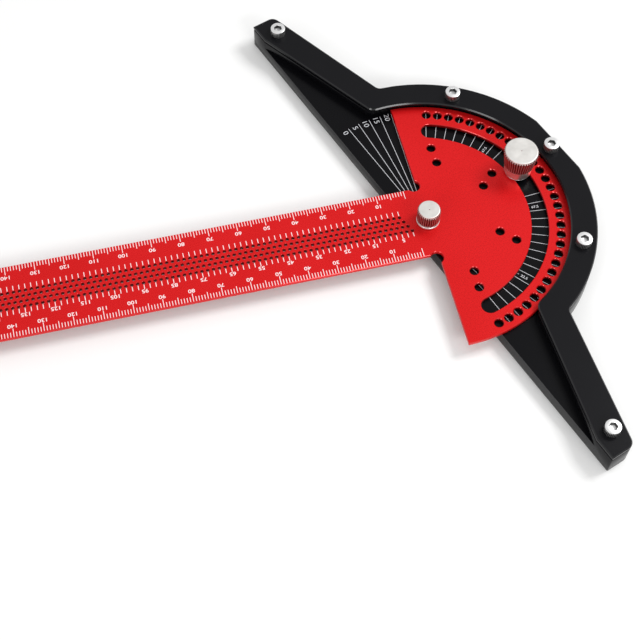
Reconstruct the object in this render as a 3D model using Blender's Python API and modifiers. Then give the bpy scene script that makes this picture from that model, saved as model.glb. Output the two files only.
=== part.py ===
"""Bevel of the edge-rule kind: a T-shaped blade that turns in a handle with a straight fence.

World frame, in metres: +X runs along the handle's symmetry axis, from the fence to the apex,
+Y runs along the fence and +Z is up. The origin is on the underside, on the pivot's axis.
The blade has its own frame: its head points along +X and its ruler along -X.
"""

import math

import bmesh
import bpy

# Heights
GAP = 0.0003
HEIGHT = 0.0100
COVER_THICKNESS = 0.0015
FLOOR_TOP = 0.0052
BLADE_THICKNESS = 0.0015
BLADE_BOTTOM = FLOOR_TOP + GAP
BLADE_TOP = BLADE_BOTTOM + BLADE_THICKNESS
COVER_BOTTOM = HEIGHT - COVER_THICKNESS
WALL_TOP = COVER_BOTTOM - GAP
BORE_BOTTOM = 0.0010

# Handle outline
FENCE_X = -0.0051
HANDLE_HALF_LENGTH = 0.1057
RING_RADIUS = 0.0584
APEX_FLAT_X = 0.0571
ARM_OUTER_X = 0.03269
ARM_OUTER_SLOPE = 0.274
ARM_END_RADIUS = 0.0030
ARM_ROOT_RADIUS = 0.0025
ARM_INNER_END = (FENCE_X, 0.0978)
ARM_INNER_ROOT = (0.0093, 0.0490)
ARM_CORNER_RADIUS = 0.0040
POCKET_RADIUS = 0.0505
LIP_RADIUS = 0.0492
ARC_STEP = math.radians(5)
OVERSHOOT = 0.0030

# Cover screws, M3 socket head
RING_SCREW_RADIUS = 0.05365
RING_SCREW_ANGLES = (0, 45, -45)
ARM_SCREW_X = 0.0008
ARM_SCREW_Y = 0.09785
SCREW_RADIUS = 0.0015
SCREW_HEAD_RADIUS = 0.0028
SCREW_HEAD_HEIGHT = 0.0025
SCREW_HEAD_CHAMFER = 0.0003
SCREW_END = 0.0027
SCREW_HOLE_BOTTOM = 0.0020
SOCKET_RADIUS = 0.00145
SOCKET_DEPTH = 0.0014
SOCKET_SIDES = 6

# Blade
BLADE_ANGLE = math.radians(-20)
RULER_WIDTH = 0.028
RULER_ZERO_X = -0.0050
RULER_SCALE_LENGTH = 0.250
RULER_END_MARGIN = 0.0050
RULER_END_RADIUS = 0.0015
HEAD_RADIUS = 0.0500
NOTCH_CENTRE = (-0.0010, 0.0153)
NOTCH_RADIUS = 0.00235
SLOT_RADIUS = 0.0391
SLOT_WIDTH = 0.0060
SLOT_HALF_ANGLE = math.radians(73.5)
RIM_HOLE_RADIUS = 0.0463
RIM_HOLE_STEP = 5
RIM_HOLE_LAST = 75
PIN_HOLE_RADIUS = 0.0016
INNER_HOLES = ((0.0096, 0.0299), (0.00985, 0.02335), (0.0277, 0.01445), (0.0232, 0.0099))

# Pivot, M4
PIVOT_SHANK_RADIUS = 0.0020
BUSH_BORE_RADIUS = PIVOT_SHANK_RADIUS + GAP
BUSH_RADIUS = 0.0030
BUSH_FLANGE_RADIUS = 0.0041
BUSH_FLANGE_THICKNESS = 0.0010
PIVOT_HOLE_RADIUS = BUSH_RADIUS + GAP
WASHER_BOTTOM = BLADE_TOP + GAP
PIVOT_WASHER_THICKNESS = 0.0008
PIVOT_WASHER_TOP = WASHER_BOTTOM + PIVOT_WASHER_THICKNESS
PIVOT_KNOB_BOTTOM = PIVOT_WASHER_TOP + GAP
SHANK_END = 0.0016
PIVOT_WASHER_RADIUS = 0.0041
PIVOT_KNOB_RADIUS = 0.0041
PIVOT_KNOB_TOP = 0.0138

# Lock, M5
LOCK_SHANK_RADIUS = 0.0025
LOCK_WASHER_THICKNESS = 0.0004
LOCK_WASHER_TOP = WASHER_BOTTOM + LOCK_WASHER_THICKNESS
LOCK_WASHER_RADIUS = 0.0046
LOCK_KNOB_BOTTOM = LOCK_WASHER_TOP + GAP
LOCK_KNOB_BASE_RADIUS = 0.0048
LOCK_KNOB_TOP_RADIUS = 0.00608
LOCK_KNOB_COLLAR_TOP = 0.0108
LOCK_KNOB_TOP = 0.0187
KNOB_CHAMFER = 0.0005

TURNED_STEPS = 36
SMALL_STEPS = 16
PIN_HOLE_SIDES = 12
CAP_STEP = math.radians(30)
NOTCH_STEP = math.radians(25)
SMOOTH_ANGLE = math.radians(30)

PARTS_COLLECTION = "sliding_bevel"
CUTTERS_COLLECTION = "cutters"


def clear_scene():
    for old in list(bpy.data.objects):
        bpy.data.objects.remove(old, do_unlink=True)


def new_collection(name):
    collection = bpy.data.collections.new(name)
    bpy.context.scene.collection.children.link(collection)
    return collection


def new_material(name, colour, metallic, roughness):
    material = bpy.data.materials.new(name)
    material.use_nodes = True
    shader = material.node_tree.nodes["Principled BSDF"]
    shader.inputs["Base Color"].default_value = (*colour, 1.0)
    shader.inputs["Metallic"].default_value = metallic
    shader.inputs["Roughness"].default_value = roughness
    return material


def add_mesh_object(name, mesh, collection, material=None):
    created = bpy.data.objects.new(name, mesh)
    collection.objects.link(created)
    if material:
        mesh.materials.clear()
        mesh.materials.append(material)
    return created


# Outlines


def polar(radius, angle):
    return (radius * math.cos(angle), radius * math.sin(angle))


def arc(centre, radius, start, end, step=ARC_STEP):
    """Points on an arc from the start angle to the end angle, both included."""
    count = max(2, math.ceil(abs(end - start) / step))
    points = []
    for index in range(count + 1):
        x, y = polar(radius, start + (end - start) * index / count)
        points.append((centre[0] + x, centre[1] + y))
    return points


def circle(centre, radius, count):
    return arc(centre, radius, 0.0, 2 * math.pi, 2 * math.pi / count)[:-1]


def unit(start, end):
    length = math.dist(start, end)
    return ((end[0] - start[0]) / length, (end[1] - start[1]) / length)


def fillet(before, corner, after, radius, count=4):
    """Points that round the corner between two straight runs."""
    back = unit(corner, before)
    ahead = unit(corner, after)
    half_angle = math.acos(back[0] * ahead[0] + back[1] * ahead[1]) / 2
    middle = unit((0, 0), (back[0] + ahead[0], back[1] + ahead[1]))
    reach = radius / math.sin(half_angle)
    centre = (corner[0] + middle[0] * reach, corner[1] + middle[1] * reach)
    tangent = radius / math.tan(half_angle)
    first = (corner[0] + back[0] * tangent, corner[1] + back[1] * tangent)
    last = (corner[0] + ahead[0] * tangent, corner[1] + ahead[1] * tangent)
    start = math.atan2(first[1] - centre[1], first[0] - centre[0])
    turn = math.atan2(last[1] - centre[1], last[0] - centre[0]) - start
    turn = (turn + math.pi) % (2 * math.pi) - math.pi
    return arc(centre, radius, start, start + turn, abs(turn) / count)


def mirrored(half):
    """The half outline with y above 0, and its mirror image before it."""
    return [(x, -y) for x, y in reversed(half)] + half


def arm_root():
    """Where the straight outer edge of an arm meets the ring."""
    stretch = 1 + ARM_OUTER_SLOPE**2
    reach = math.sqrt(RING_RADIUS**2 * stretch - ARM_OUTER_X**2)
    y = (ARM_OUTER_X * ARM_OUTER_SLOPE + reach) / stretch
    return (ARM_OUTER_X - ARM_OUTER_SLOPE * y, y)


def handle_outer_half():
    """From the apex flat, round the ring and along the arm, to the end of the fence."""
    flat_angle = math.acos(APEX_FLAT_X / RING_RADIUS)
    root = arm_root()
    root_angle = math.atan2(root[1], root[0])
    along_ring = polar(RING_RADIUS, root_angle - ARC_STEP)
    end_x = ARM_OUTER_X - ARM_OUTER_SLOPE * HANDLE_HALF_LENGTH
    end_corner = (end_x, HANDLE_HALF_LENGTH)
    fence_corner = (FENCE_X, HANDLE_HALF_LENGTH)
    points = arc((0, 0), RING_RADIUS, flat_angle, root_angle - ARC_STEP)
    points += fillet(along_ring, root, end_corner, ARM_ROOT_RADIUS)
    points += fillet(root, end_corner, fence_corner, ARM_END_RADIUS)
    points.append(fence_corner)
    return points


def handle_inner_half(radius):
    """From the axis of symmetry round the inside of the ring, and along the inside of the arm."""
    corner_angle = math.atan2(ARM_INNER_ROOT[1], ARM_INNER_ROOT[0])
    corner = polar(radius, corner_angle)
    points = arc((0, 0), radius, ARC_STEP / 2, corner_angle - ARC_STEP)
    points += fillet(points[-1], corner, ARM_INNER_END, ARM_CORNER_RADIUS)
    points.append(ARM_INNER_END)
    return points


def pocket_outline():
    """The recess in the body: the swing of the head, and the floor in front of the arms."""
    half = handle_inner_half(POCKET_RADIUS)
    half.append((FENCE_X - OVERSHOOT, ARM_INNER_END[1]))
    return mirrored(half)


def cover_outline():
    """The C-shaped plate: the handle's outer edge, and the lip that overlaps the head."""
    outer = mirrored(handle_outer_half())
    return outer + list(reversed(mirrored(handle_inner_half(LIP_RADIUS))))


def blade_outline():
    half_width = RULER_WIDTH / 2
    cx, cy = NOTCH_CENTRE
    ruler_meet = math.atan2(half_width - cy, -math.sqrt(NOTCH_RADIUS**2 - (half_width - cy) ** 2))
    head_meet = math.atan2(math.sqrt(NOTCH_RADIUS**2 - cx**2), -cx)
    end_x = RULER_ZERO_X - RULER_SCALE_LENGTH - RULER_END_MARGIN
    half = arc((0, 0), HEAD_RADIUS, ARC_STEP / 2, math.pi / 2)
    half += arc((cx, cy), NOTCH_RADIUS, head_meet, ruler_meet, NOTCH_STEP)
    half += fillet((0, half_width), (end_x, half_width), (end_x, 0), RULER_END_RADIUS)
    return mirrored(half)


def slot_outline():
    half_width = SLOT_WIDTH / 2
    low, high = -SLOT_HALF_ANGLE, SLOT_HALF_ANGLE
    points = arc((0, 0), SLOT_RADIUS + half_width, low, high)
    points += arc(polar(SLOT_RADIUS, high), half_width, high, high + math.pi, CAP_STEP)[1:-1]
    points += arc((0, 0), SLOT_RADIUS - half_width, high, low)
    points += arc(polar(SLOT_RADIUS, low), half_width, low + math.pi, low + 2 * math.pi, CAP_STEP)[1:-1]
    return points


def blade_hole_centres():
    centres = []
    for angle in range(-RIM_HOLE_LAST, RIM_HOLE_LAST + 1, RIM_HOLE_STEP):
        centres.append(polar(RIM_HOLE_RADIUS, math.radians(angle)))
    for x, y in INNER_HOLES:
        centres.append((x, y))
        centres.append((x, -y))
    return centres


def cover_screw_centres():
    centres = [polar(RING_SCREW_RADIUS, math.radians(angle)) for angle in RING_SCREW_ANGLES]
    centres.append((ARM_SCREW_X, ARM_SCREW_Y))
    centres.append((ARM_SCREW_X, -ARM_SCREW_Y))
    return centres


# Solids


def plate_mesh(name, outline, holes, low, high):
    """A flat outline with holes, extruded from the low to the high level."""
    curve = bpy.data.curves.new(name, "CURVE")
    curve.dimensions = "2D"
    curve.fill_mode = "BOTH"
    curve.extrude = (high - low) / 2
    for points in [outline, *holes]:
        spline = curve.splines.new("POLY")
        spline.points.add(len(points) - 1)
        for point, (x, y) in zip(spline.points, points):
            point.co = (x, y, 0.0, 1.0)
        spline.use_cyclic_u = True
    guide = bpy.data.objects.new(name, curve)
    bpy.context.scene.collection.objects.link(guide)
    graph = bpy.context.evaluated_depsgraph_get()
    mesh = bpy.data.meshes.new_from_object(guide.evaluated_get(graph))
    mesh.name = name
    bpy.data.objects.remove(guide)
    bpy.data.curves.remove(curve)
    edit = bmesh.new()
    edit.from_mesh(mesh)
    bmesh.ops.remove_doubles(edit, verts=edit.verts, dist=1e-6)
    bmesh.ops.translate(edit, verts=edit.verts, vec=(0, 0, (high + low) / 2))
    bmesh.ops.recalc_face_normals(edit, faces=edit.faces)
    edit.to_mesh(mesh)
    edit.free()
    return mesh


def turned_object(name, profile, collection, material=None, steps=TURNED_STEPS):
    """A profile of (radius, height) points, from the top down its outer side, turned about Z."""
    mesh = bpy.data.meshes.new(name)
    edit = bmesh.new()
    points = [edit.verts.new((radius, 0, height)) for radius, height in profile]
    for start, end in zip(points, points[1:]):
        edit.edges.new((start, end))
    if profile[0][0] > 0:
        edit.edges.new((points[-1], points[0]))
    edit.to_mesh(mesh)
    edit.free()
    created = add_mesh_object(name, mesh, collection, material)
    screw = created.modifiers.new("turn", "SCREW")
    screw.axis = "Z"
    screw.angle = 2 * math.pi
    screw.steps = steps
    screw.render_steps = steps
    screw.use_merge_vertices = True
    screw.merge_threshold = 0.00001
    screw.use_normal_calculate = False
    return created


def made_solid(source, collection, material):
    """The object with its modifiers worked out, as a new mesh object in their place."""
    graph = bpy.context.evaluated_depsgraph_get()
    mesh = bpy.data.meshes.new_from_object(source.evaluated_get(graph))
    name = source.name
    bpy.data.objects.remove(source)
    mesh.name = name
    return add_mesh_object(name, mesh, collection, material)


def add_cutter(name, mesh, cutters):
    cutter = add_mesh_object(name, mesh, cutters)
    cutter.hide_render = True
    cutter.display_type = "WIRE"
    return cutter


def add_bore_cutter(name, centre, radius, low, high, cutters, sides=SMALL_STEPS):
    mesh = plate_mesh(name, circle(centre, radius, sides), [], low, high)
    return add_cutter(name, mesh, cutters)


def cut(target, cutter):
    boolean = target.modifiers.new(cutter.name, "BOOLEAN")
    boolean.operation = "DIFFERENCE"
    boolean.object = cutter
    boolean.solver = "EXACT"


def shade(target):
    target.data.shade_smooth()
    target.data.set_sharp_from_angle(angle=SMOOTH_ANGLE)


# Sub-parts


def build_handle_body(parts, cutters, material):
    mesh = plate_mesh("handle_body", mirrored(handle_outer_half()), [], 0.0, WALL_TOP)
    body = add_mesh_object("handle_body", mesh, parts, material)
    top = WALL_TOP + OVERSHOOT
    pocket = plate_mesh("pocket_cutter", pocket_outline(), [], FLOOR_TOP, top)
    cut(body, add_cutter("pocket_cutter", pocket, cutters))
    for index, centre in enumerate(cover_screw_centres(), 1):
        name = f"screw_hole_cutter_{index}"
        cut(body, add_bore_cutter(name, centre, SCREW_RADIUS + GAP, SCREW_HOLE_BOTTOM, top, cutters))
    lock_centre = (SLOT_RADIUS, 0.0)
    bores = (
        ("pivot_bore_cutter", (0.0, 0.0), BUSH_BORE_RADIUS, BORE_BOTTOM),
        ("bush_seat_cutter", (0.0, 0.0), BUSH_FLANGE_RADIUS + GAP, FLOOR_TOP - BUSH_FLANGE_THICKNESS - GAP),
        ("lock_bore_cutter", lock_centre, LOCK_SHANK_RADIUS + GAP, BORE_BOTTOM),
    )
    for name, centre, radius, bottom in bores:
        cut(body, add_bore_cutter(name, centre, radius, bottom, top, cutters, TURNED_STEPS))
    return body


def build_cover_frame(parts, material):
    holes = [circle(centre, SCREW_RADIUS + GAP, SMALL_STEPS) for centre in cover_screw_centres()]
    mesh = plate_mesh("cover_frame", cover_outline(), holes, COVER_BOTTOM, HEIGHT)
    return add_mesh_object("cover_frame", mesh, parts, material)


def build_cover_screws(parts, cutters, material):
    """Five socket-head cap screws, which share one mesh."""
    head_bottom = HEIGHT + GAP
    head_top = head_bottom + SCREW_HEAD_HEIGHT
    profile = [
        (0.0, head_top),
        (SCREW_HEAD_RADIUS - SCREW_HEAD_CHAMFER, head_top),
        (SCREW_HEAD_RADIUS, head_top - SCREW_HEAD_CHAMFER),
        (SCREW_HEAD_RADIUS, head_bottom),
        (SCREW_RADIUS, head_bottom),
        (SCREW_RADIUS, SCREW_END),
        (0.0, SCREW_END),
    ]
    blank = turned_object("cover_screw_blank", profile, parts, steps=SMALL_STEPS)
    bottom = head_top - SOCKET_DEPTH
    top = head_top + OVERSHOOT
    centre = (0.0, 0.0)
    socket = add_bore_cutter("socket_cutter", centre, SOCKET_RADIUS, bottom, top, cutters, SOCKET_SIDES)
    cut(blank, socket)
    first = made_solid(blank, parts, material)
    mesh = first.data
    bpy.data.objects.remove(first)
    screws = []
    for index, (x, y) in enumerate(cover_screw_centres(), 1):
        screw = add_mesh_object(f"cover_screw_{index}", mesh, parts)
        screw.location = (x, y, 0.0)
        screws.append(screw)
    return screws


def build_ruler_blade(parts, material):
    holes = [slot_outline(), circle((0.0, 0.0), PIVOT_HOLE_RADIUS, TURNED_STEPS)]
    holes += [circle(centre, PIN_HOLE_RADIUS, PIN_HOLE_SIDES) for centre in blade_hole_centres()]
    mesh = plate_mesh("ruler_blade", blade_outline(), holes, BLADE_BOTTOM, BLADE_TOP)
    blade = add_mesh_object("ruler_blade", mesh, parts, material)
    blade.rotation_euler = (0.0, 0.0, BLADE_ANGLE)
    return blade


def build_washer(name, bore_radius, radius, top, parts, material):
    profile = [(bore_radius, top), (radius, top), (radius, WASHER_BOTTOM), (bore_radius, WASHER_BOTTOM)]
    return turned_object(name, profile, parts, material)


def build_pivot_bush(parts, material):
    flange_bottom = FLOOR_TOP - BUSH_FLANGE_THICKNESS
    profile = [
        (BUSH_BORE_RADIUS, BLADE_TOP),
        (BUSH_RADIUS, BLADE_TOP),
        (BUSH_RADIUS, FLOOR_TOP),
        (BUSH_FLANGE_RADIUS, FLOOR_TOP),
        (BUSH_FLANGE_RADIUS, flange_bottom),
        (BUSH_BORE_RADIUS, flange_bottom),
    ]
    return turned_object("pivot_bush", profile, parts, material)


def build_pivot_knob(parts, material):
    profile = [
        (0.0, PIVOT_KNOB_TOP),
        (PIVOT_KNOB_RADIUS - KNOB_CHAMFER, PIVOT_KNOB_TOP),
        (PIVOT_KNOB_RADIUS, PIVOT_KNOB_TOP - KNOB_CHAMFER),
        (PIVOT_KNOB_RADIUS, PIVOT_KNOB_BOTTOM),
        (PIVOT_SHANK_RADIUS, PIVOT_KNOB_BOTTOM),
        (PIVOT_SHANK_RADIUS, SHANK_END),
        (0.0, SHANK_END),
    ]
    return turned_object("pivot_knob", profile, parts, material)


def build_lock_knob(parts, material):
    profile = [
        (0.0, LOCK_KNOB_TOP),
        (LOCK_KNOB_TOP_RADIUS - KNOB_CHAMFER, LOCK_KNOB_TOP),
        (LOCK_KNOB_TOP_RADIUS, LOCK_KNOB_TOP - KNOB_CHAMFER),
        (LOCK_KNOB_BASE_RADIUS, LOCK_KNOB_COLLAR_TOP),
        (LOCK_KNOB_BASE_RADIUS, LOCK_KNOB_BOTTOM),
        (LOCK_SHANK_RADIUS, LOCK_KNOB_BOTTOM),
        (LOCK_SHANK_RADIUS, SHANK_END),
        (0.0, SHANK_END),
    ]
    return turned_object("lock_knob", profile, parts, material)


def main():
    clear_scene()
    parts = new_collection(PARTS_COLLECTION)
    cutters = new_collection(CUTTERS_COLLECTION)
    black = new_material("black_anodised", (0.018, 0.018, 0.021), 0.6, 0.38)
    cover_black = new_material("cover_black", (0.021, 0.021, 0.024), 0.6, 0.36)
    red = new_material("red_anodised", (0.72, 0.022, 0.025), 0.55, 0.32)
    steel = new_material("screw_steel", (0.72, 0.72, 0.71), 1.0, 0.22)
    knob_metal = new_material("knob_metal", (0.70, 0.69, 0.66), 1.0, 0.28)
    washer_metal = new_material("washer_metal", (0.68, 0.68, 0.67), 1.0, 0.25)
    bush_brass = new_material("bush_brass", (0.62, 0.43, 0.17), 1.0, 0.3)

    shade(build_handle_body(parts, cutters, black))
    shade(build_cover_frame(parts, cover_black))
    screws = build_cover_screws(parts, cutters, steel)
    shade(screws[0])
    shade(build_ruler_blade(parts, red))
    shade(build_pivot_bush(parts, bush_brass))
    pivot_washer = build_washer(
        "pivot_washer", BUSH_BORE_RADIUS, PIVOT_WASHER_RADIUS, PIVOT_WASHER_TOP, parts, washer_metal
    )
    shade(pivot_washer)
    shade(build_pivot_knob(parts, knob_metal))
    lock_washer = build_washer(
        "lock_washer", LOCK_SHANK_RADIUS + GAP, LOCK_WASHER_RADIUS, LOCK_WASHER_TOP, parts, washer_metal
    )
    lock_knob = build_lock_knob(parts, knob_metal)
    for piece in (lock_washer, lock_knob):
        shade(piece)
        piece.location.x = SLOT_RADIUS


main()
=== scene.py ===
"""The looks of the bevel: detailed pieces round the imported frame, materials, light and camera.

Everything is in metres, in the frame's own axes: +X from the fence to the handle's apex, +Y along
the fence, +Z up, origin on the pivot's axis at the underside. The blade's own frame has the head
along +X and the ruler along -X.
"""

import math

import bmesh
import bpy
from mathutils import Matrix, Vector
from mathutils.geometry import delaunay_2d_cdt


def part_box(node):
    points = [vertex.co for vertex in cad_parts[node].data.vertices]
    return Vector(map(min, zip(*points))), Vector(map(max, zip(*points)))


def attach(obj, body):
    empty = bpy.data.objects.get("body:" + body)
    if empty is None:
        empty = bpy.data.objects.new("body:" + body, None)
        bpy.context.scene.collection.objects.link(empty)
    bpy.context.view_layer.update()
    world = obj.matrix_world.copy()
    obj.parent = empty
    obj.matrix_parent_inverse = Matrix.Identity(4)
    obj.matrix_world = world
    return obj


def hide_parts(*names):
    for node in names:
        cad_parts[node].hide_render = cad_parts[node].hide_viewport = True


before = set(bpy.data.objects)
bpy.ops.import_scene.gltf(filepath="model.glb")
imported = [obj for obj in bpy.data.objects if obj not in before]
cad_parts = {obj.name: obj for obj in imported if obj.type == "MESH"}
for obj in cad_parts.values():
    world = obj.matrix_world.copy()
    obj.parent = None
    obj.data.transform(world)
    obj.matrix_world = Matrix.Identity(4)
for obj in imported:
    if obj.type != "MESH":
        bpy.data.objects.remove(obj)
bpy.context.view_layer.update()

MM = 0.001

# Levels, from the frame
BODY_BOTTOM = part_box("handle_body")[0].z
BODY_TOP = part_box("handle_body")[1].z
COVER_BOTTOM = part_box("cover_frame")[0].z
COVER_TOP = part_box("cover_frame")[1].z
BLADE_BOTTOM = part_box("ruler_blade")[0].z
BLADE_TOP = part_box("ruler_blade")[1].z
CLEARANCE = 0.3 * MM
FLOOR_TOP = BLADE_BOTTOM - CLEARANCE

# Handle outline
FENCE_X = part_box("handle_body")[0].x
HANDLE_HALF_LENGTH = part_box("handle_body")[1].y
RING_RADIUS = 58.4 * MM
APEX_FLAT_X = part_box("handle_body")[1].x
ARM_OUTER_X = 32.69 * MM
ARM_OUTER_SLOPE = 0.274
ARM_END_RADIUS = 3.0 * MM
ARM_ROOT_RADIUS = 2.5 * MM
ARM_INNER_END = (FENCE_X, 97.8 * MM)
ARM_INNER_ROOT = (9.3 * MM, 49.0 * MM)
ARM_CORNER_RADIUS = 4.0 * MM
WALL_LEDGE = 0.2 * MM
POCKET_RADIUS = 50.5 * MM
LIP_RADIUS = 49.2 * MM
BODY_EDGE = 0.25 * MM
BODY_EDGE_STEPS = 2
COVER_EDGE = 0.4 * MM
RING_EASE = math.radians(5)
OVERSHOOT = 3.0 * MM

# Bores in the handle
BUSH_SEAT_RADIUS = 4.4 * MM
BUSH_SEAT_DEPTH = 1.3 * MM
KNOB_BORE_BOTTOM = BODY_BOTTOM + 1.0 * MM
SCREW_BORE_BOTTOM = BODY_BOTTOM + 2.0 * MM
BORE_SIDES = 40

# Cover screws
RING_SCREW_RADIUS = 53.65 * MM
RING_SCREW_ANGLES = (0, 45, -45)
ARM_SCREW = (0.8 * MM, 97.85 * MM)
SCREW_SHANK_RADIUS = 1.5 * MM
SCREW_HOLE_RADIUS = 1.7 * MM
SCREW_HEAD_RADIUS = 2.75 * MM
SCREW_CHAMFER = 0.35 * MM
SCREW_RIM_DROP = 0.1 * MM
SCREW_RIM_WIDTH = 0.12 * MM
SCREW_BASE_EDGE = 0.15 * MM
SCREW_KNURL_DEPTH = 0.12 * MM
SCREW_KNURL_TEETH = 32
SCREW_STEPS = 192
SOCKET_FLAT_RADIUS = 1.25 * MM
SOCKET_DEPTH = 1.2 * MM
SOCKET_POINT_RADIUS = 0.8 * MM
SOCKET_POINT_DEPTH = 0.15 * MM
SOCKET_MOUTH_DEPTH = 0.15 * MM
SOCKET_MOUTH_WIDTH = 0.12 * MM
SCREW_TURN_STEP = math.radians(17)

# Blade
BLADE_ANGLE = math.radians(-20)
RULER_HALF_WIDTH = 14.0 * MM
RULER_END_X = -260.0 * MM
RULER_END_RADIUS = 1.5 * MM
HEAD_RADIUS = 50.0 * MM
NOTCH_CENTRE = (-1.0 * MM, 15.3 * MM)
NOTCH_RADIUS = 2.35 * MM
SLOT_RADIUS = 39.1 * MM
SLOT_HALF_WIDTH = 3.0 * MM
SLOT_HALF_ANGLE = math.radians(73.5)
RIM_HOLE_RADIUS = 46.3 * MM
RIM_HOLE_STEP = 5
RIM_HOLE_LAST = 75
PIN_HOLE_RADIUS = 1.6 * MM
INNER_HOLES = ((9.6, 29.9), (9.85, 23.35), (27.75, 14.45), (23.2, 9.9))
PIVOT_HOLE_RADIUS = 3.3 * MM
PIVOT_HOLE_SIDES = 48
BLADE_EDGE = 0.18 * MM
PIN_HOLE_EDGE = 0.22 * MM
MARKING_EDGE = 0.04 * MM

# Ruler scale
ZERO_X = -5.2 * MM
SCALE_LAST = 250
MARK_WIDTH = 0.24 * MM
MARK_HEIGHT = 0.02 * MM
MARK_LENGTHS = {1: 2.0 * MM, 5: 2.8 * MM, 10: 3.4 * MM}
NUMERAL_STEP = 10
NUMERAL_HEIGHT = 1.45 * MM
NUMERAL_STRETCH = 1.2
UPPER_NUMERAL_Y = 9.35 * MM
LOWER_NUMERAL_Y = -9.7 * MM
MARKING_HOLE_RADIUS = 0.63 * MM
MARKING_HOLE_SIDES = 12
MARKING_ROWS = (-2.80 * MM, -0.75 * MM, 1.30 * MM, 3.35 * MM)
MARKING_FIRST_X = -6.33 * MM
MARKING_PITCH = 2.0 * MM
MARKING_COLUMNS = 120
LOWER_TICK = (-5.3 * MM, -3.6 * MM)
UPPER_TICK = (4.1 * MM, 5.85 * MM)
TICK_WIDTH = 0.25 * MM
HOLE_LABEL_Y = -6.2 * MM
HOLE_LABEL_FIRST = 5

# Figures: a digit's height as a share of the font's size, and how bold they are
CAP_SHARE = 0.73
LABEL_CURVE_STEPS = 3
LABEL_WEIGHT = 0.02
FLOOR_LABEL_WEIGHT = -0.01

# Floor scale
FLOOR_LINE_WIDTH = 0.18 * MM
FLOOR_LONG_ANGLES = (90, 85, 80, 75, 70)
FLOOR_SHORT_ANGLES = range(15, 70, 5)
FLOOR_LINES = (
    (FLOOR_LONG_ANGLES, (12.0 * MM, 49.2 * MM)),
    (FLOOR_SHORT_ANGLES, (36.0 * MM, 48.5 * MM)),
)
FLOOR_LABEL_HEIGHT = 2.0 * MM
FLOOR_LABEL_RADIUS = 48.1 * MM
FLOOR_LABEL_OFFSET = 1.75 * MM
HALF_LABEL_HEIGHT = 0.95 * MM
HALF_LABEL_RADIUS = 38.8 * MM
HALF_DASH = (36.15 * MM, 36.7 * MM)
HALF_LABELS = (("67.5", 22.5), ("22.5", 67.5))

# Knobs and washers
LOCK_KNOB_RADIUS = 6.08 * MM
LOCK_KNOB_BASE_RADIUS = 4.8 * MM
LOCK_COLLAR_HEIGHT = 3.8 * MM
LOCK_KNOB_TEETH = 42
LOCK_THREAD_PITCH = 0.8 * MM
PIVOT_KNOB_RADIUS = 4.05 * MM
PIVOT_KNOB_TEETH = 32
PIVOT_THREAD_PITCH = 0.7 * MM
KNOB_GAP = 0.05 * MM
KNURL_DEPTH = 0.36 * MM
KNURL_SLANT = 2.5
KNURL_STEPS = 8
KNURL_SMOOTH_ANGLE = math.radians(12)
RIM_CHAMFER = 0.36 * MM
RIM_DROP = 0.30 * MM
RIM_FOOT = (0.06 * MM, 0.07 * MM)
COLLAR_EDGE = 0.2 * MM
COLLAR_DROP = 0.15 * MM
KNOB_BASE_EDGE = 0.4 * MM
PLAIN_SHANK = 2.0 * MM
CENTRE_DOT_RADIUS = 0.25 * MM
CENTRE_POINT_RADIUS = 0.05 * MM
LOCK_SHANK_RADIUS = 2.5 * MM
PIVOT_SHANK_RADIUS = 2.0 * MM
THREAD_CREST = 0.25 * MM
BUSH_BORE_RADIUS = 2.3 * MM
WASHER_EASE = 0.12 * MM
WASHER_STEPS = 96

# The bright rim of a thumb screw: depths under the top, and distances outside the flat face
RIM_PROFILE = (
    (0.0, -0.22 * MM),
    (0.03 * MM, -0.11 * MM),
    (0.03 * MM, -0.06 * MM),
    (0.10 * MM, 0.0),
    (RIM_DROP, 0.04 * MM),
)

# Fineness of the meshes
FINE_ARC = math.radians(2)
COARSE_ARC = math.radians(12)
SMOOTH_ANGLE = math.radians(30)
SHARP_ANGLE = math.radians(35)
FILLET_STEPS = 8
HOLE_SIDES = 28
CAP_TOLERANCE = 1e-9

# Colours: each surface is clouded between two of them
BLACK = ((0.0022, 0.0022, 0.0030), (0.0030, 0.0030, 0.0040))
COVER_BLACK = ((0.0050, 0.0050, 0.0062), (0.0062, 0.0062, 0.0076))
RED = ((0.66, 0.008, 0.009), (0.70, 0.010, 0.012))
FLOOR_MARK_WHITE = ((0.56, 0.57, 0.60), (0.72, 0.73, 0.76))
BLADE_MARK_WHITE = ((0.93, 0.74, 0.75), (0.99, 0.86, 0.87))
SCREW_STEEL = ((0.91, 0.91, 0.91), (0.96, 0.96, 0.96))
KNOB_METAL = ((0.75, 0.73, 0.70), (0.82, 0.80, 0.77))
WASHER_METAL = ((0.74, 0.72, 0.72), (0.82, 0.79, 0.79))
BRASS = ((0.62, 0.43, 0.17), (0.70, 0.50, 0.22))
PAPER = ((0.87, 0.87, 0.865), (0.90, 0.90, 0.895))

# Painted shade in grooves, holes and sockets, and a painted red reflection of the blade in the
# knobs' knurl: their colours, and how much of them there is
RED_SHADOW = (0.09, 0.022, 0.022)
KNURL_SHADE_AND_RED_REFLECTION = (0.28, 0.012, 0.015)
GREY_SHADOW = (0.08, 0.08, 0.08)
HOLE_WALL_SHADOW = (0.3, 1.0, 1.0)
RIDGE_SHADE = 0.38
GROOVE_SHADE = 1.5
FLANK_FALL = 1.1

# Noises and tool marks
NOISE_LOW = 0.3
NOISE_HIGH = 0.7
SKIN_CLOUD_SCALE = 45.0
SKIN_GRAIN_SCALE = 5200.0
METAL_CLOUD_SCALE = 400.0
SPECKLE_SCALE = 3000.0
PAPER_CLOUD_SCALE = 6.0
TOOL_MARK_SCALE = 700.0

# Shiny machined edges: how far up the normal points on upright, sloping and level faces
UPRIGHT_NORMAL = 0.3
SLOPING_NORMALS = (0.5, 0.88)
LEVEL_NORMAL = 0.98
UPRIGHT_SHARE = 0.15
EDGE_SPECULAR = 0.55
EDGE_ROUGHNESS = 0.14

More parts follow.
